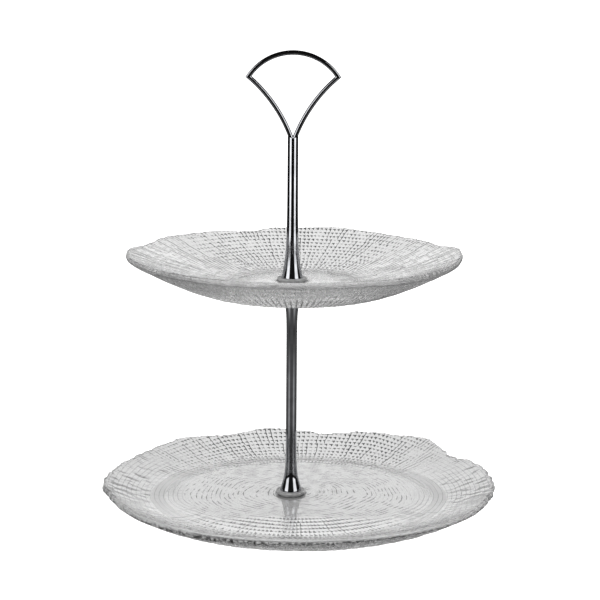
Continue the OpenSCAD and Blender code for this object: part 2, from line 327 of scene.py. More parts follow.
def pressed_plate(name, node, face, floor_r, mean_r, rise, weave_r, stitch_w, jag, flute_l, swirls,
                  shallow, seed):
    """A plate in its solid's place, as rings of points about its middle. The weave starts at weave_r in
    front, jag is how far the rim and the skin wander, flute_l how far the flutes run past the foot ring,
    swirls how strong the floor's grain is, and shallow is 1 for the flat plate. Returns the object."""
    solid = frame["nodes"][node].data
    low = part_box(node)[0]
    ring_xs = [v.co.x for v in solid.vertices if v.co.z < low.z + 0.1 * mm]
    middle = (min(ring_xs) + max(ring_xs)) / 2
    ring_r = (max(ring_xs) - min(ring_xs)) / 2
    floor_z = next(m["pos_m"][2] for m in frame["record"]["mounts"] if m["name"] == face)
    under_z = floor_z - glass_t
    ring_z = low.z
    rim = outline_of(node, middle)
    turn = np.arange(fine_count) * 2 * math.pi / fine_count
    rim = rim + jag * ripple_field(np.cos(turn), np.sin(turn), rim_wave, seed)
    rim = rim + 0.6 * jag * ripple_field(np.cos(turn), np.sin(turn), rim_nick, seed + 7)
    rim = rim - 0.2 * mm * np.abs(np.sin(turn * round(math.pi * mean_r / stitch_w)))

    def inner_z(r):
        return floor_z + rise * np.clip((r - floor_r) / (mean_r - floor_r), 0, None) ** wall_bow

    def outer_z(r):
        up = rise - glass_t + floor_z - ring_z
        return ring_z + up * np.clip((r - ring_r) / (mean_r - ring_r), 0, None) ** wall_bow

    rings = []

    def level(r, z, count, skin):
        """Adds a ring about the post where r is small and about the plate's middle where it isn't."""
        shift = -middle * (1 - eased(min(1.0, max(0.0, (r - shift_r) / shift_w))))
        a = turn[::fine_count // count]
        rings.append((shift + r * np.cos(a), r * np.sin(a), np.full(count, z), skin))

    def sloped(r, z, skin):
        rings.append((r * np.cos(turn), r * np.sin(turn), z, skin))

    few, some = fine_count // 4, fine_count // 2
    for r, z in ((hole_r + 0.4 * mm, under_z), (hole_r, under_z + 0.4 * mm),
                 (hole_r, floor_z - seat_h - 0.3 * mm), (hole_r + 0.3 * mm, floor_z - seat_h),
                 (seat_r, floor_z - seat_h), (seat_r + 0.15 * mm, floor_z - 0.05 * mm)):
        level(r, z, few, "under")
    r = seat_r + 0.5 * mm
    while r < floor_r - 0.7 * mm:
        count = few if r < few_r else some if r < some_r else fine_count
        level(r, floor_z, count, "face")
        r += floor_step
    wall_rings = round((mean_r - rim_round - floor_r) / wall_step)
    for i in range(wall_rings + 1):
        r = floor_r + (rim - rim_round - floor_r) * i / wall_rings
        sloped(r, inner_z(r), "face")
    edge_r = rim - rim_round
    for i in range(1, 5):
        a = math.pi / 2 * (1 - i / 4)
        sloped(edge_r + rim_round * math.cos(a), inner_z(edge_r) - rim_round * (1 - math.sin(a)), "rim")
    for i in range(0, 5):
        a = math.pi / 2 * i / 4
        sloped(edge_r + rim_round * math.cos(a), outer_z(edge_r) + rim_round * (1 - math.sin(a)), "rim")
    outer_rings = round((mean_r - rim_round - ring_r) / under_step)
    for i in range(1, outer_rings):
        r = ring_r + (edge_r - ring_r) * (1 - i / outer_rings)
        sloped(r, outer_z(r), "under")
    level(ring_r + 0.3 * mm, ring_z + 0.25 * mm, fine_count, "ring")
    level(ring_r - 0.9 * mm, ring_z, some, "ring")
    level(ring_r - ring_w + 0.9 * mm, ring_z, some, "ring")
    for share in (0.15, 0.35, 0.65, 0.85):
        level(ring_r - ring_w - slope_w * share, ring_z + (under_z - ring_z) * eased(share), some, "ring")
    level(ring_r - ring_w - slope_w, under_z, some, "under")
    r = ring_r - ring_w - 14 * mm
    while r > hole_r + 4 * mm:
        level(r, under_z, few, "under")
        r -= 8 * mm

    # The relief: rounded rows on the wall, wavy grain on the floor, a rough skin below
    x, y, z = (np.concatenate([p[i] for p in rings]) for i in range(3))
    side = np.concatenate([np.full(len(p[0]), {"face": 1, "rim": 0}.get(p[3], -1)) for p in rings])
    r = np.hypot(x, y)
    from_post = np.hypot(x + middle, y)
    warp = ripple_field(x, y, warp_w, seed) + 0.4 * ripple_field(x, y, small_warp_w, seed + 5)
    toward = np.clip((-y / r - 0.3) / 0.6, 0, 1)
    sideways = np.clip(1.6 * np.abs(x) / r - 0.7, 0, 1) * (1 - toward)
    wider = np.where(r < floor_r, 1 - row_w / floor_row_w, 0.45)
    row_r = floor_r + (r - floor_r) * (1 + 0.6 * sideways * shallow - wider * toward)
    row = (row_r + 1.2 * mm * warp) / row_w
    grain = (r + 7 * mm * ripple_field(x, y, grain_warp_w, seed + 9) + 1.5 * mm * warp) / grain_w
    front = np.clip((-y / r - 0.75) / 0.2, 0, 1)
    starts_r = floor_r - weave_reach + (weave_r - floor_r + weave_reach) * front
    wall = eased(np.clip((r - starts_r) / weave_fade_w, 0, 1))
    cord = 0.5 - 0.5 * np.cos(2 * math.pi * row)
    swirl = np.sin(2 * math.pi * grain) * np.clip((from_post - seat_r - 8 * mm) / (14 * mm), 0, 1)
    rim_gap = np.interp(np.arctan2(y, x) % (2 * math.pi), turn, rim) - r
    near_rim = np.clip(rim_gap / (4 * mm), 0, 1)
    at_back = np.clip(y / r, 0, 1)
    lift = (cord_h * cord * wall * near_rim * at_back + swirl_h * swirl * (1 - wall)) * (side > 0)
    rough = ripple_field(x, y, rough_w, seed + 3)
    flute = np.clip((flute_l + ring_r - r) / (24 * mm), 0, 1)
    hang = (0.45 * jag * rough + flute_h * flute * np.cos(flute_count * np.arctan2(y, x))) * (side < 0)
    hang = hang * np.clip((r - ring_r - 0.5 * mm) / (4 * mm), 0, 1)
    z = np.maximum(z + lift + hang, ring_z)
    points = np.stack([x, y, z], axis=1)

    faces, starts = [], np.cumsum([0] + [len(p[0]) for p in rings])
    kinds, skins = [], list(glass_skins)
    for k in range(len(rings)):
        a0, b0 = starts[k], starts[(k + 1) % len(rings)]
        na, nb = len(rings[k][0]), len(rings[(k + 1) % len(rings)][0])
        made = len(faces)
        if na == nb:
            for i in range(na):
                j = (i + 1) % na
                faces.append((a0 + i, a0 + j, b0 + j, b0 + i))
        else:
            few_at, many_at, n, grows = (a0, b0, na, True) if na < nb else (b0, a0, nb, False)
            step = max(na, nb) // n
            for i in range(n):
                j = (i + 1) % n
                fan = [many_at + (i * step + s) % (n * step) for s in range(step + 1)]
                half = step // 2
                for s in range(step):
                    corner = few_at + (i if s < half else j)
                    tri = (corner, fan[s + 1], fan[s]) if grows else (corner, fan[s], fan[s + 1])
                    faces.append(tri)
                tri = (few_at + i, few_at + j, fan[half])
                faces.append(tri if grows else tri[::-1])
        kinds += [skins.index(rings[k][3])] * (len(faces) - made)

    plate = finished(name, points, [tuple(map(int, f)) for f in faces], crease=60)
    plate.data.flip_normals()
    edge = np.clip(1 - rim_gap / (6 * mm), 0, 1)
    # Painted shade: broken dark patches near the rim, where the skin hangs lowest below the face
    shade = 0.4 * (jag / mm) ** 2 * np.clip(1.5 - rim_gap / (8 * mm), 0, 1)
    shade = shade * np.clip((inner_z(r) - z) / (1.5 * mm) - 1.2, 0, 1)
    patterns = {"row": row, "grain": grain, "wall": wall, "edge": edge, "shade": shade, "flute": flute,
                "stitches": 8 * math.pi * row_w / stitch_w, "floor_bands": round(floor_r / row_w / 4) - 0.5,
                "swirls": swirls, "shallow": shallow}
    for label, values in patterns.items():
        layer = plate.data.attributes.new(label, "FLOAT", "POINT")
        layer.data.foreach_set("value", np.broadcast_to(values, len(r)).astype(np.float32))
    for skin in glass_skins.values():
        plate.data.materials.append(skin)
    plate.data.polygons.foreach_set("material_index", kinds)
    plate.location.x = middle
    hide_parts(node)
    return plate


def soft_line(tree, value, middle, solid, reach):
    """How far a value is from middle, and a soft line there: full as far as solid, gone by reach."""
    off = add(tree, "Math", {0: value, 1: middle}, operation="SUBTRACT")
    far = add(tree, "Math", {0: off}, operation="ABSOLUTE")
    line = add(tree, "MapRange", {"Value": far, "From Min": solid, "From Max": reach,
                                  "To Min": 1, "To Max": 0}, interpolation_type="SMOOTHSTEP")
    return far, line


def let_light_through(tree, shader):
    """Lets the softboxes' light pass through the glass, so that it casts a pale shadow."""
    path = add(tree, "LightPath")
    clear = add(tree, "BsdfTransparent", {"Color": linear("#EEEEEE")})
    shaded = path.outputs["Is Shadow Ray"]
    mix = add(tree, "MixShader", {0: shaded, 1: shader.outputs[0], 2: clear.outputs[0]})
    tree.links.new(mix.outputs[0], tree.nodes["Material Output"].inputs["Surface"])


def broken_shade(tree, place, scale, least):
    """The painted shade that a plate's points carry, broken into patches where noise is above least."""
    patch = add(tree, "TexNoise", {"Vector": place, "Scale": scale, "Detail": 2})
    patchy = add(tree, "MapRange", {"Value": patch, "From Min": least, "From Max": 0.52})
    shade_at = add(tree, "Attribute", attribute_name="shade").outputs["Fac"]
    return add(tree, "Math", {0: patchy, 1: shade_at}, operation="MULTIPLY")


def outer_face(tree, shader, tone, marks, shine):
    """Draws the tone and the dark, shineless marks of painted shade of a rough skin on its outer face only;
    seen from inside the glass its colour is an even pale. Returns where the skin is seen from inside the
    glass, where from outside, and its colour."""
    inside = add(tree, "NewGeometry").outputs["Backfacing"]
    outside = add(tree, "Math", {0: 1.0, 1: inside}, operation="SUBTRACT")
    even = add(tree, "MixRGB", {0: inside, 1: tone.outputs[0], 2: linear("#F6F6F6")})
    dark = add(tree, "Math", {0: marks, 1: outside}, operation="MULTIPLY")
    skin_tone = add(tree, "MixRGB", {0: dark, 1: even, 2: linear("#1C1C1C")})
    shine_left = add(tree, "MapRange", {"Value": dark, "To Min": shine, "To Max": 0.0})
    tree.links.new(shine_left.outputs[0], shader.inputs["Specular IOR Level"])
    return inside, outside, skin_tone


# Clear soda-lime glass, pressed with a woven relief: it bends what is seen through it. The thin dark
# lines along the valleys between the stitches are painted shade in its colour, for the dark room that
# the relief bends into view
woven_glass, tree, shader, place = new_finish("pressed_glass_woven_face")
parts = add(tree, "SeparateXYZ", {"Vector": place})
angle = add(tree, "Math", {0: parts.outputs["Y"], 1: parts.outputs["X"]}, operation="ARCTAN2")
turns = add(tree, "Math", {0: angle, 1: 1 / (2 * math.pi), 2: 0.5}, operation="MULTIPLY_ADD")
row_at, grain_at, wall_at, per_band, floor_bands, shallow_at, edge_at, swirls_at = (
    add(tree, "Attribute", attribute_name=label).outputs["Fac"]
    for label in ("row", "grain", "wall", "stitches", "floor_bands", "shallow", "edge", "swirls"))

# Every four rows share a whole number of stitches, so that their ends line up
row_id = add(tree, "Math", {0: row_at}, operation="FLOOR")
across = add(tree, "Math", {0: row_at}, operation="FRACT")
band_at = add(tree, "Math", {0: row_id, 1: 0.25}, operation="MULTIPLY")
band_id = add(tree, "Math", {0: band_at}, operation="FLOOR")
row_start = add(tree, "TexWhiteNoise", {"W": band_id}, noise_dimensions="1D")
band_mid = add(tree, "Math", {0: band_id, 1: 0.5})
on_floor = add(tree, "Math", {0: band_id, 1: floor_bands}, operation="LESS_THAN")
finer = add(tree, "MapRange", {"Value": on_floor, "To Min": 1.0, "To Max": 1.25})
per_width = add(tree, "Math", {0: band_mid, 1: per_band}, operation="MULTIPLY")
per_row = add(tree, "Math", {0: per_width, 1: finer}, operation="MULTIPLY")
stitches = add(tree, "Math", {0: per_row}, operation="ROUND")
along = add(tree, "Math", {0: turns, 1: stitches, 2: row_start}, operation="MULTIPLY_ADD")
wander = add(tree, "TexNoise", {"Vector": place, "Scale": 0.09 / mm, "Detail": 2})
slant = add(tree, "Math", {0: wander, 1: 0.9, 2: along}, operation="MULTIPLY_ADD")
stitch_id = add(tree, "Math", {0: slant}, operation="FLOOR")
within = add(tree, "Math", {0: slant}, operation="FRACT")
cell = add(tree, "CombineXYZ", {"X": row_id, "Y": stitch_id})
chance = add(tree, "TexWhiteNoise", {"Vector": cell}, noise_dimensions="2D")

# Each stitch is a small arch: a dash along its outer edge, with one leg hanging from it
outer_edge = add(tree, "Math", {0: 1.0, 1: across}, operation="SUBTRACT")
bar_far, bar_line = soft_line(tree, outer_edge, 0.25, 0.07, 0.17)
bar_run = soft_line(tree, within, 0.5, 0.2, 0.3)[1]
bar_some = add(tree, "MapRange", {"Value": chance, "From Max": 0.6, "To Min": 0.4, "To Max": 1.1})
bar_part = add(tree, "Math", {0: bar_line, 1: bar_run}, operation="MULTIPLY")
front_back = add(tree, "Math", {0: angle}, operation="SINE")
crossing = add(tree, "Math", {0: front_back}, operation="ABSOLUTE")
fade = add(tree, "MapRange", {"Value": crossing, "From Min": 0.6, "From Max": 0.95, "To Min": 0.1})
bar_seen = add(tree, "Math", {0: bar_some, 1: fade}, operation="MULTIPLY")
bar = add(tree, "Math", {0: bar_part, 1: bar_seen}, operation="MULTIPLY")
leg_far, leg_line = soft_line(tree, within, 0.28, 0.07, 0.17)
band_cell = add(tree, "CombineXYZ", {"X": band_id, "Y": stitch_id})
band_chance = add(tree, "TexWhiteNoise", {"Vector": band_cell}, noise_dimensions="2D")
leg_end = add(tree, "MapRange", {"Value": outer_edge, "From Min": 0.55, "From Max": 0.7,
                                 "To Min": 1, "To Max": 0})
leg_start = add(tree, "MapRange", {"Value": outer_edge, "From Min": 0.02, "From Max": 0.12})
leg_long = add(tree, "Math", {0: leg_end, 1: leg_start}, operation="MULTIPLY")
leg_some = add(tree, "MapRange", {"Value": chance, "From Min": 0.1, "From Max": 0.8, "To Min": 0.2})
leg_part = add(tree, "Math", {0: leg_line, 1: leg_long}, operation="MULTIPLY")
aside = add(tree, "MapRange", {"Value": crossing, "From Min": 0.35, "From Max": 0.85, "To Min": 0.85,
                               "To Max": 0})
flat_side = add(tree, "Math", {0: aside, 1: shallow_at}, operation="MULTIPLY")
upright = add(tree, "Math", {0: 1.0, 1: flat_side}, operation="SUBTRACT")
leg_left = add(tree, "Math", {0: leg_some, 1: upright}, operation="MULTIPLY")
leg = add(tree, "Math", {0: leg_part, 1: leg_left}, operation="MULTIPLY")

# Hair lines run on from stitch to stitch and from row to row
row_way = add(tree, "Math", {0: flat_side, 1: 0.25, 2: 0.17}, operation="MULTIPLY_ADD")
row_hair = add(tree, "MapRange", {"Value": bar_far, "From Min": 0.03, "From Max": 0.1,
                                  "To Min": row_way, "To Max": 0})
hair_wide = add(tree, "MapRange", {"Value": crossing, "From Min": 0.3, "From Max": 0.8, "To Min": 0.2,
                                   "To Max": 0.12})
leg_hair = add(tree, "MapRange", {"Value": leg_far, "From Min": 0.04, "From Max": hair_wide,
                                  "To Min": 1, "To Max": 0})
hair_some = add(tree, "MapRange", {"Value": band_chance, "From Min": 0.5, "From Max": 0.8, "To Min": 0.1})
hair_way = add(tree, "MapRange", {"Value": crossing, "From Min": 0.3, "From Max": 0.95, "To Min": 1.9,
                                  "To Max": 0.6})
hair_seen = add(tree, "Math", {0: hair_some, 1: hair_way}, operation="MULTIPLY")
hair_left = add(tree, "Math", {0: hair_seen, 1: upright}, operation="MULTIPLY")
hair_part = add(tree, "Math", {0: leg_hair, 1: hair_left}, operation="MULTIPLY")
hair = add(tree, "Math", {0: hair_part, 1: row_hair}, operation="MAXIMUM")

# Pillow of each stitch, rounded both ways
pillow_u = add(tree, "Math", {0: across, 1: math.pi}, operation="MULTIPLY")
pillow_a = add(tree, "Math", {0: pillow_u}, operation="SINE")
pillow_v = add(tree, "Math", {0: within, 1: math.pi}, operation="MULTIPLY")
pillow_b = add(tree, "Math", {0: pillow_v}, operation="SINE")
pillow_c = add(tree, "Math", {0: pillow_b, 1: 0.5, 2: 0.5}, operation="MULTIPLY_ADD")
pillow = add(tree, "Math", {0: pillow_a, 1: pillow_c}, operation="MULTIPLY")

# Patches where the mould is worn and the weave fades
patch = add(tree, "TexNoise", {"Vector": place, "Scale": 0.028 / mm, "Detail": 2})
patchy = add(tree, "MapRange", {"Value": patch, "From Min": 0.35, "From Max": 0.65, "To Min": 0.6})
lines = add(tree, "Math", {0: bar, 1: leg}, operation="MAXIMUM")
lines_all = add(tree, "Math", {0: lines, 1: hair}, operation="MAXIMUM")
lines_seen = add(tree, "Math", {0: lines_all, 1: patchy}, operation="MULTIPLY")
off_rim = add(tree, "MapRange", {"Value": edge_at, "From Min": 0.75, "From Max": 0.95,
                                 "To Min": 1, "To Max": 0})
weave = add(tree, "Math", {0: lines_seen, 1: off_rim}, operation="MULTIPLY")

# Floor: wavy rings like wood grain, crossed by a fine radial hatch, drawn as painted shade lines
grain_in = add(tree, "Math", {0: grain_at}, operation="FRACT")
grain_line = soft_line(tree, grain_in, 0.5, 0.03, 0.15)[1]
hatch_count = 170
hatch = add(tree, "Math", {0: turns, 1: 2 * math.pi * hatch_count}, operation="MULTIPLY")
hatch_wave = add(tree, "Math", {0: hatch}, operation="SINE")
hatch_some = add(tree, "TexNoise", {"Vector": place, "Scale": 0.12 / mm, "Detail": 3})
hatch_line = add(tree, "Math", {0: hatch_wave, 1: hatch_some}, operation="MULTIPLY")
broken = add(tree, "MapRange", {"Value": hatch_some, "From Min": 0.42, "From Max": 0.6, "To Min": 0.05})
floor_sum = add(tree, "Math", {0: hatch_line, 1: 0.3, 2: grain_line}, operation="MULTIPLY_ADD")
floor_part = add(tree, "Math", {0: floor_sum, 1: broken}, operation="MULTIPLY")
floor_mark = add(tree, "Math", {0: floor_part, 1: swirls_at}, operation="MULTIPLY")

# The wall's weave and the floor's grain meet where the wall begins
relief_and_painted_shade = add(tree, "Mix", {"Factor": wall_at, "A": floor_mark, "B": weave})
# Painted shade: the marks darken the clear glass's colour from near white to near black
tone = add(tree, "ValToRGB", {"Fac": relief_and_painted_shade}, stops=((0.08, "#F4F4F4"), (0.42, "#101111")))
# Painted shade: the lower plate's clear glass is greyed all over, less on its front and back wall
upright_weave = add(tree, "Math", {0: wall_at, 1: crossing}, operation="MULTIPLY")
painted_shade_share = add(tree, "Math", {0: upright_weave, 1: -0.7, 2: 1.0}, operation="MULTIPLY_ADD")
grey = add(tree, "Math", {0: shallow_at, 1: painted_shade_share}, operation="MULTIPLY")
painted_shade_tone = add(tree, "MixRGB", {0: grey, 1: tone.outputs[0], 2: linear("#BEBEBE")}, blend_type="MULTIPLY")
dull = add(tree, "Math", {0: relief_and_painted_shade, 1: edge_at}, operation="MAXIMUM")
gloss = add(tree, "MapRange", {"Value": dull, "To Min": 0.02, "To Max": 0.3})
skin = add(tree, "TexNoise", {"Vector": place, "Scale": 0.7 / mm, "Detail": 3})
pillow_at = add(tree, "Math", {0: wall_at, 1: fade}, operation="MULTIPLY")
pillow_h = add(tree, "Math", {0: pillow, 1: pillow_at}, operation="MULTIPLY")
height_a = add(tree, "Math", {0: relief_and_painted_shade, 1: -0.7, 2: pillow_h}, operation="MULTIPLY_ADD")
height = add(tree, "Math", {0: skin, 1: 0.06, 2: height_a}, operation="MULTIPLY_ADD")
relief = add(tree, "Bump", {"Height": height, "Distance": 0.2 * mm, "Strength": 1.0})
set_finish(tree, shader, painted_shade_tone, gloss, relief, {"Transmission Weight": 1, "IOR": 1.5,
                                                "Coat Roughness": 0.08})
# The floor is polished a little, so that it mirrors the foot of the post
polish = add(tree, "MapRange", {"Value": wall_at, "To Min": 0.4, "To Max": 0})
tree.links.new(polish.outputs[0], shader.inputs["Coat Weight"])
let_light_through(tree, shader)

# The same glass where the mould was rough: the underside scatters light in a fine, speckled skin. Its
# colour is painted grey with lighter specks as painted shade and painted glints, and darker in broken
# patches of painted shade near the rim, where the skin hangs lowest
cast_glass, tree, shader, place = new_finish("pressed_glass_cast_underside")
parts = add(tree, "SeparateXYZ", {"Vector": place})
flat = add(tree, "CombineXYZ", {"X": parts.outputs["X"], "Y": parts.outputs["Y"]})
way = add(tree, "VectorMath", {0: flat}, operation="NORMALIZE")
reach = add(tree, "VectorMath", {0: flat}, operation="LENGTH").outputs["Value"]
# Its patterns lie round the plate as at these radii, and the skin's is drawn out along the radius
skin_lies_r, patch_lies_r = 130 * mm, 100 * mm
drawn = add(tree, "Math", {0: reach, 1: 0.35}, operation="MULTIPLY")
rise = add(tree, "CombineXYZ", {"Z": drawn})
skin_at = add(tree, "VectorMath", {0: way, 1: (skin_lies_r,) * 3, 2: rise}, operation="MULTIPLY_ADD")
pebble = add(tree, "TexVoronoi", {"Vector": skin_at, "Scale": 0.42 / mm}, feature="F1")
sparkle = add(tree, "MapRange", {"Value": pebble, "From Min": 0.15, "From Max": 0.4,
                                 "To Min": 1, "To Max": 0}, interpolation_type="SMOOTHSTEP")
fine = add(tree, "TexNoise", {"Vector": skin_at, "Scale": 0.85 / mm, "Detail": 3})
speck = add(tree, "Math", {0: fine, 1: 0.7, 2: sparkle}, operation="MULTIPLY_ADD")
# Painted shade and painted glints: grey colour, lighter at the specks
tone = add(tree, "ValToRGB", {"Fac": speck}, stops=((0.3, "#C6C6C6"), (0.9, "#FFFFFF")))
drawn_out = add(tree, "CombineXYZ", {"Z": reach})
patch_at = add(tree, "VectorMath", {0: way, 1: (patch_lies_r,) * 3, 2: drawn_out}, operation="MULTIPLY_ADD")
shaded = broken_shade(tree, patch_at, 0.62 / mm, 0.49)

# Shallow flutes, drawn as painted shade lines from the middle to the foot ring, and on past it under the
# upper plate
angle = add(tree, "Math", {0: parts.outputs["Y"], 1: parts.outputs["X"]}, operation="ARCTAN2")
flutes = add(tree, "Math", {0: angle, 1: flute_count}, operation="MULTIPLY")
flute_wave = add(tree, "Math", {0: flutes}, operation="SINE")
flute_line = add(tree, "MapRange", {"Value": flute_wave, "From Min": 0.45, "From Max": 0.75})
flute_at = add(tree, "Attribute", attribute_name="flute").outputs["Fac"]
flute_part = add(tree, "Math", {0: flute_line, 1: flute_at}, operation="MULTIPLY")
flute_seen = add(tree, "Math", {0: flute_part, 1: 0.9}, operation="MULTIPLY")
painted_shade_marks = add(tree, "Math", {0: shaded, 1: flute_seen}, operation="MAXIMUM")
inside, outside, skin_tone = outer_face(tree, shader, tone, painted_shade_marks, 0.5)
gloss = add(tree, "MapRange", {"Value": pebble, "To Min": 0.1, "To Max": 0.35})
dull = add(tree, "Mix", {"Factor": inside, "A": gloss, "B": 0.04})
depth = add(tree, "MapRange", {"Value": outside, "To Min": 0.03, "To Max": 0.8})
relief = add(tree, "Bump", {"Height": speck, "Distance": 0.5 * mm, "Strength": depth})
set_finish(tree, shader, skin_tone, dull, relief, {"Transmission Weight": 0.85, "IOR": 1.5})
let_light_through(tree, shader)

# The fire-polished rim: smooth, its round edge painted an even milky grey with a faint mottle, as painted
# shade
rim_glass, tree, shader, place = new_finish("pressed_glass_fire_polished_rim")
rim_mottle = add(tree, "TexNoise", {"Vector": place, "Scale": 0.42 / mm, "Detail": 3})
tone = add(tree, "ValToRGB", {"Fac": rim_mottle}, stops=((0.35, "#A0A0A0"), (0.65, "#C8C8C8")))
# Painted shade in broken patches low on the rim, as on the underside
shaded = broken_shade(tree, place, 0.42 / mm, 0.48)
skin_tone = outer_face(tree, shader, tone, shaded, 0.15)[2]
gloss = add(tree, "MapRange", {"Value": rim_mottle, "To Min": 0.12, "To Max": 0.25})
relief = add(tree, "Bump", {"Height": rim_mottle, "Distance": 0.3 * mm, "Strength": 0.5})
set_finish(tree, shader, skin_tone, gloss, relief, {"Transmission Weight": 0.85, "IOR": 1.5})
let_light_through(tree, shader)

# The foot ring, ground flat after pressing: it scatters light evenly, and shows through the floor as a
# faint grey ring
ground_glass, tree, shader, place = new_finish("pressed_glass_ground_foot_ring")
grit = add(tree, "TexNoise", {"Vector": place, "Scale": 1.5 / mm, "Detail": 3})
tone = add(tree, "ValToRGB", {"Fac": grit}, stops=((0.35, "#F0F0F0"), (0.65, "#FCFCFC")))
gloss = add(tree, "MapRange", {"Value": grit, "To Min": 0.45, "To Max": 0.65})
relief = add(tree, "Bump", {"Height": grit, "Distance": 0.1 * mm, "Strength": 0.5})
set_finish(tree, shader, tone, gloss, relief, {"Transmission Weight": 0.05, "IOR": 1.5})
let_light_through(tree, shader)

glass_skins = {"face": woven_glass, "under": cast_glass, "rim": rim_glass, "ring": ground_glass}
lower_glass = pressed_plate(
    "lower_plate_glass", "lower_plate", "lower_serving_face", floor_r=106 * mm, mean_r=150 * mm,
    rise=11.5 * mm, weave_r=58 * mm, stitch_w=3.8 * mm, jag=1.6 * mm, flute_l=0, swirls=0.65, shallow=1,
    seed=1)
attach(lower_glass, "lower_tier")
upper_glass = pressed_plate(
    "upper_plate_glass", "upper_plate", "upper_serving_face", floor_r=52 * mm, mean_r=125 * mm,
    rise=21.5 * mm, weave_r=12 * mm, stitch_w=3.3 * mm, jag=0.8 * mm, flute_l=52 * mm, swirls=0.2, shallow=0,
    seed=2)
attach(upper_glass, "upper_tier")

# ------------------------------------------------------------------------------
# Posts: steel rod turned with a trumpet flare at each foot, polished and plated with black nickel.
# Both ends of the lower post and the foot of the upper one are drilled and tapped for M5.

flare_r = 8.3 * mm
post_r = 4.1 * mm
post_top_r = 3.9 * mm
tapped_r = 2.55 * mm
bore_l = 10 * mm
bore_edge = 0.5 * mm
saddle_h = 1.5 * mm

# Black nickel plate: a dark smoky mirror, with faint turning marks round the rod
nickel, tree, shader, place = new_finish("black_nickel_plate")
haze = add(tree, "TexNoise", {"Vector": place, "Scale": 0.16 / mm, "Detail": 4})
tone = add(tree, "ValToRGB", {"Fac": haze}, stops=((0.3, "#8A8B8E"), (0.75, "#A3A4A7")))
gloss = add(tree, "MapRange", {"Value": haze, "To Min": 0.03, "To Max": 0.07})
parts = add(tree, "SeparateXYZ", {"Vector": place})
rounds = add(tree, "TexNoise", {"W": parts.outputs["Z"], "Scale": 2.5 / mm, "Detail": 2},
             noise_dimensions="1D")
relief = add(tree, "Bump", {"Height": rounds, "Distance": 0.01 * mm, "Strength": 0.25})
set_finish(tree, shader, tone, gloss, relief, {"Metallic": 1})


def flared(h, fade_h, fade):
    """Radius of a post at height h above its foot, where the flare fades out over about fade_h."""
    return post_r + (flare_r - post_r) * math.exp(-((h / fade_h) ** fade))


def tapped_bore(z):
    """Outline of the hole tapped for M5 in a post's foot at height z, with a chamfered mouth."""
    return [(0, z + bore_l), (tapped_r, z + bore_l - mm), (tapped_r, z + bore_edge),
            (tapped_r + bore_edge, z)]


def foot_edge(z, up=1, inset=0.02 * mm):
    """Outline of the rounded edge of a post's foot, from its flat end at height z. At a head, up is -1."""
    return [(flare_r - 0.3 * mm, z), (flare_r - 0.08 * mm, z + up * 0.08 * mm),
            (flare_r - inset, z + up * 0.3 * mm)]


low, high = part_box("lower_post")
length = high.z - low.z
half = [length / 2 * (i / 60) ** 1.7 for i in range(61)]
foot = [(flared(h, 10 * mm, 1.4), low.z + h) for h in half]
head = [(r, low.z + high.z - z) for r, z in reversed(foot[:-1])]
foot[:1] = foot_edge(low.z)
head[-1:] = foot_edge(high.z, up=-1)[::-1]
head += [(thread_r + 0.4 * mm, high.z), (thread_r, high.z - 0.4 * mm),
         (thread_r, high.z - 7.9 * mm), (0, high.z - 8 * mm)]
lower_post = turned("lower_post_turned", tapped_bore(low.z) + foot + head, sides=96)
lower_post.data.materials.append(nickel)
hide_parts("lower_post")
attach(lower_post, "lower_column")

# ------------------------------------------------------------------------------
# Stud: a length of M5 threaded rod, fixed in the top of the lower post. The upper plate slips over it
# and the upper post screws down on it.

low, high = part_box("tier_stud")
stud = turned("tier_stud_threaded",
              [(0, low.z)] + thread(low.z + 0.01 * mm, high.z - 0.01 * mm) + [(0, high.z)], sides=32)
stud.data.materials.append(zinc)
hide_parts("tier_stud")
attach(stud, "lower_column")

# ------------------------------------------------------------------------------
# Upper post: the same plated rod, slightly tapered. Its top is cut to a shallow saddle, front to
# back, and the loop is brazed into it.

low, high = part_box("upper_post")
length = high.z - low.z
saddle_reach = 3 * mm
saddle_r = (post_top_r ** 2 + saddle_h ** 2) / (2 * saddle_h)
rise = [length * (i / 90) ** 1.5 for i in range(91)]
taper = (post_top_r - post_r) / length
side = [(flared(h, 14 * mm, 1.05) + taper * h, low.z + h) for h in rise]
side[:1] = foot_edge(low.z, inset=0.05 * mm)
top_cap = [(post_top_r * f, high.z) for f in (0.9, 0.75, 0.6, 0.45, 0.3, 0.15)] + [(0, high.z)]
upper_post = turned("upper_post_turned", tapped_bore(low.z) + side + top_cap, sides=96)
saddle_z = high.z - saddle_h + saddle_r
for vertex in upper_post.data.vertices:
    if vertex.co.z > high.z - saddle_reach:
        x = min(abs(vertex.co.x), post_top_r)
        top = saddle_z - math.sqrt(saddle_r ** 2 - x ** 2)
        share = min(1.0, (vertex.co.z - (high.z - saddle_reach)) / saddle_reach)
        vertex.co.z -= (high.z - top) * share
upper_post.data.set_sharp_from_angle(angle=math.radians(35))
upper_post.data.materials.append(nickel)
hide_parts("upper_post")
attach(upper_post, "upper_column")

# ------------------------------------------------------------------------------
# Lifting loop: steel rod bent to a fan, mitred and brazed at its two outer corners, with both legs
# run into the post's saddle, then plated with the post.

bar_w = 3.6 * mm
bar_d = 4 * mm
arch_r = 41.5 * mm
side_r = 107 * mm
loop_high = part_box("handle_loop")[1]
corner_x = 35.4 * mm
arch_z = loop_high.z - arch_r
corner_z = arch_z + math.sqrt(arch_r ** 2 - corner_x ** 2)

# Centre of the right hollow side, from its outer corner and the post's top edge
edge_x, edge_z = corner_x - post_top_r, corner_z - high.z
chord = math.hypot(edge_x, edge_z)
back = math.sqrt(side_r ** 2 - chord ** 2 / 4)
side_x = (corner_x + post_top_r) / 2 + back * edge_z / chord
side_z = (corner_z + high.z) / 2 - back * edge_x / chord

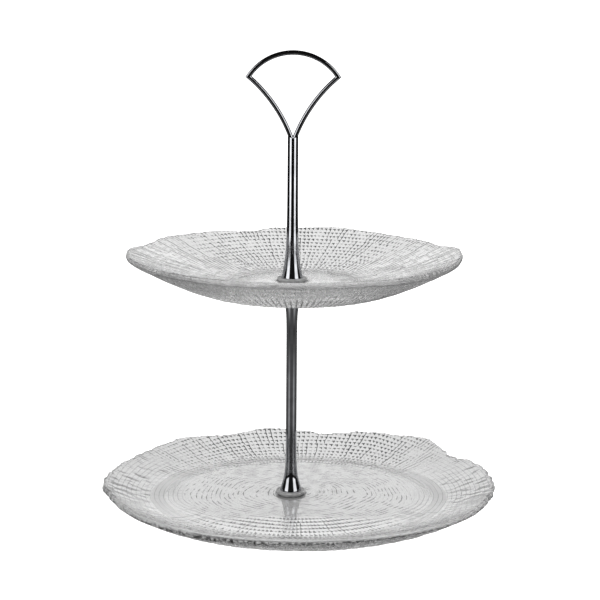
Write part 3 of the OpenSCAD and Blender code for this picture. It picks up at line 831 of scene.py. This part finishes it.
# Middle lines of the bars, and the corner where they meet
leg_r = side_r + bar_w / 2
bow_r = arch_r - bar_w / 2
gap_x, gap_z = side_x, side_z - arch_z
gap = math.hypot(gap_x, gap_z)
on = (bow_r ** 2 - leg_r ** 2 + gap ** 2) / (2 * gap)
off = math.sqrt(bow_r ** 2 - on ** 2)
corner = Vector(((on * gap_x - off * gap_z) / gap, 0, arch_z + (on * gap_z + off * gap_x) / gap))
root_z = side_z + math.sqrt(leg_r ** 2 - side_x ** 2)
root_turn = math.atan2(root_z - side_z, -side_x)
leg_turn = math.atan2(corner.z - side_z, corner.x - side_x)
bow_turn = math.atan2(corner.z - arch_z, corner.x)

path = []
for i in range(41):
    a = root_turn + (leg_turn - root_turn) * i / 40
    path.append(Vector((side_x + leg_r * math.cos(a), 0, side_z + leg_r * math.sin(a))))
for i in range(1, 64):
    a = bow_turn + (math.pi - 2 * bow_turn) * i / 64
    path.append(Vector((bow_r * math.cos(a), 0, arch_z + bow_r * math.sin(a))))
path += [Vector((-p.x, 0, p.z)) for p in reversed(path[1:41])]

# An oval section swept round the closed path, cut on the bisecting plane at every point
sides_round = 32
points, faces = [], []
for i, p in enumerate(path):
    before = (p - path[i - 1]).normalized()
    after = (path[(i + 1) % len(path)] - p).normalized()
    plane = (before + after).normalized()
    across_bar = Vector((before.z, 0, -before.x))
    squareness = 0.7 if 40 <= i <= 104 else 0.9
    for k in range(sides_round):
        a = 2 * math.pi * k / sides_round
        c, d = math.cos(a), math.sin(a)
        c, d = math.copysign(abs(c) ** squareness, c), math.copysign(abs(d) ** squareness, d)
        spoke = across_bar * (bar_w / 2 * c) + Vector((0, bar_d / 2 * d, 0))
        spoke -= before * (spoke.dot(plane) / before.dot(plane))
        points.append(p + spoke)
for i in range(len(path)):
    a0, b0 = i * sides_round, (i + 1) % len(path) * sides_round
    for k in range(sides_round):
        j = (k + 1) % sides_round
        faces.append((a0 + k, a0 + j, b0 + j, b0 + k))
loop = finished("lifting_loop_bar", points, faces, crease=30)
loop.data.materials.append(nickel)
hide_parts("handle_loop")
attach(loop, "upper_column")

# ------------------------------------------------------------------------------
# Studio: a pale sweep under and behind the stand, a tall softbox in two parts on each side, and a long
# lens that looks down from a little above the loop. The dark room shows in reflections, where it draws
# the metal's dark bands, and a little through the glass.

sweep_r = 8.0
disc = bpy.data.meshes.new("studio_floor")
disc.from_pydata([(sweep_r * math.cos(a), sweep_r * math.sin(a), -0.2 * mm)
                  for a in np.arange(64) * math.pi / 32], [], [tuple(range(64))])
studio_floor = bpy.data.objects.new("studio_floor", disc)
bpy.context.scene.collection.objects.link(studio_floor)
paper = bpy.data.materials.new("white_paper_sweep")
paper.use_nodes = True
tree = paper.node_tree
tree.nodes.remove(tree.nodes["Principled BSDF"])
place = add(tree, "TexCoord")
mottle = add(tree, "TexNoise", {"Vector": place.outputs["Object"], "Scale": 0.003 / mm})
pale = add(tree, "MixRGB", {0: mottle, 1: linear("#F4F4F4"), 2: linear("#FAFAFA")})
matt = add(tree, "BsdfDiffuse", {"Color": pale})
glow = add(tree, "Emission", {"Color": linear("#FFFFFF"), "Strength": 0.7})
lit = add(tree, "AddShader", {0: matt.outputs[0], 1: glow.outputs[0]})
# In reflections it glows bright to the left and right of the front, but for a dark band short of the
# softboxes, it is dark elsewhere, and a painted shadow darkens it right under the stand
way = add(tree, "VectorMath", {0: place.outputs["Object"]}, operation="NORMALIZE")
way_parts = add(tree, "SeparateXYZ", {"Vector": way})
sideways = add(tree, "Math", {0: way_parts.outputs["X"]}, operation="ABSOLUTE")
to_side = add(tree, "MapRange", {"Value": sideways, "From Min": 0.45, "From Max": 0.6},
              interpolation_type="SMOOTHSTEP")
in_front = add(tree, "MapRange", {"Value": way_parts.outputs["Y"], "From Min": -0.25, "From Max": -0.5},
               interpolation_type="SMOOTHSTEP")
far = add(tree, "VectorMath", {0: place.outputs["Object"]}, operation="LENGTH")
far_off = add(tree, "Math", {0: far.outputs["Value"], 1: 0.78}, operation="SUBTRACT")
far_gap = add(tree, "Math", {0: far_off}, operation="ABSOLUTE")
near_or_far = add(tree, "MapRange", {"Value": far_gap, "From Min": 0.12, "From Max": 0.42})
side_lit = add(tree, "Math", {0: to_side, 1: in_front}, operation="MULTIPLY")
lit_side = add(tree, "Math", {0: side_lit, 1: near_or_far}, operation="MULTIPLY")
dim_far = add(tree, "MapRange", {"Value": far.outputs["Value"], "From Min": 0.7, "From Max": 1.1,
                                 "To Min": 0.17, "To Max": 0.01}, interpolation_type="SMOOTHSTEP")
dim = add(tree, "MapRange", {"Value": side_lit, "To Min": dim_far, "To Max": 0.01})
shadow = add(tree, "MapRange", {"Value": far.outputs["Value"], "From Min": 0.12, "From Max": 0.25})
reach_all = add(tree, "Mix", {"Factor": lit_side, "A": dim, "B": 0.75})
reach = add(tree, "Math", {0: reach_all, 1: shadow}, operation="MULTIPLY")
# Through glass it is an even pale grey, but for what a post shows of it through the plate's front
ray = add(tree, "LightPath")
mirrored = add(tree, "Math", {0: ray.outputs["Glossy Depth"], 1: 1.0}, operation="MINIMUM")
ahead = add(tree, "MapRange", {"Value": way_parts.outputs["Y"], "From Min": 0.1, "From Max": -0.1},
            interpolation_type="SMOOTHSTEP")
dimmed = add(tree, "Math", {0: mirrored, 1: ahead}, operation="MULTIPLY")
pane = add(tree, "Mix", {"Factor": dimmed, "A": 0.95, "B": reach})
level_at = add(tree, "Mix", {"Factor": ray.outputs["Is Transmission Ray"], "A": reach, "B": pane})
seen = add(tree, "Emission", {"Color": linear("#FFFFFF"), "Strength": level_at})
not_direct = add(tree, "Math", {0: ray.outputs["Is Glossy Ray"], 1: ray.outputs["Is Transmission Ray"]},
                 operation="MAXIMUM")
mix = add(tree, "MixShader", {0: not_direct, 1: lit.outputs[0], 2: seen.outputs[0]})
tree.links.new(mix.outputs[0], tree.nodes["Material Output"].inputs["Surface"])
disc.materials.append(paper)

world = bpy.data.worlds.new("studio_room")
bpy.context.scene.world = world
world.use_nodes = True
tree = world.node_tree
background = tree.nodes["Background"]
place = add(tree, "TexCoord")
parts = add(tree, "SeparateXYZ", {"Vector": place.outputs["Generated"]})
# Seen through the glass: white up to about 12 degrees, fading to a dim room at 21
band = add(tree, "MapRange", {"Value": parts.outputs["Z"], "From Min": 0.2, "From Max": 0.36,
                              "To Min": 1.1, "To Max": 0.32}, interpolation_type="SMOOTHSTEP")
# Seen in reflections: a bright sweep behind, dark in front
behind = add(tree, "MapRange", {"Value": parts.outputs["Y"], "From Min": 0.3, "From Max": 0.8,
                                "To Min": 0.02}, interpolation_type="SMOOTHSTEP")
sweep = add(tree, "MapRange", {"Value": parts.outputs["Z"], "From Min": 0.35, "From Max": 0.6,
                               "To Min": 1.0, "To Max": 0.1}, interpolation_type="SMOOTHSTEP")
mirror = add(tree, "Math", {0: behind, 1: sweep}, operation="MULTIPLY")
ray = add(tree, "LightPath")
glossy = add(tree, "Mix", {"Factor": ray.outputs["Is Glossy Ray"], "A": 0.8, "B": mirror})
through = add(tree, "Mix", {"Factor": ray.outputs["Is Transmission Ray"], "A": glossy, "B": band})
direct = add(tree, "Mix", {"Factor": ray.outputs["Is Camera Ray"], "A": through, "B": 1.15})
scattered = add(tree, "Math", {0: ray.outputs["Diffuse Depth"], 1: 1.0}, operation="MINIMUM")
room = add(tree, "Mix", {"Factor": scattered, "A": direct, "B": 0.9})
tree.links.new(room.outputs[0], background.inputs["Strength"])
background.inputs["Color"].default_value = (1, 1, 1, 1)

softbox_w = 0.6
softbox_x, softbox_y = 0.705, -0.591
for side in (-1, 1):
    for low_z, high_z, watts in ((0.1, 0.29, 0.9), (0.29, 0.95, 3.6)):
        softbox = bpy.data.lights.new("softbox", "AREA")
        softbox.shape = "RECTANGLE"
        softbox.size = softbox_w
        softbox.size_y = high_z - low_z
        softbox.energy = watts
        lamp = bpy.data.objects.new(softbox.name, softbox)
        lamp.location = (softbox_x * side, softbox_y, (low_z + high_z) / 2)
        aim = Vector((-lamp.location.x, -lamp.location.y, 0))
        lamp.rotation_euler = aim.to_track_quat("-Z", "Y").to_euler()
        lamp.visible_camera = False
        lamp.visible_transmission = False
        bpy.context.scene.collection.objects.link(lamp)

camera_place = (0.006, -1.457, 0.4397)
camera_down, camera_roll = 10.9, 0.4
lens = bpy.data.cameras.new("camera")
lens.lens = 118.5
lens.sensor_width = 36
camera = bpy.data.objects.new("camera", lens)
bpy.context.scene.collection.objects.link(camera)
camera.matrix_world = (Matrix.Translation(camera_place)
                       @ Matrix.Rotation(math.radians(90 - camera_down), 4, "X")
                       @ Matrix.Rotation(math.radians(camera_roll), 4, "Z"))
bpy.context.scene.camera = camera
bpy.context.scene.view_settings.view_transform = "Standard"
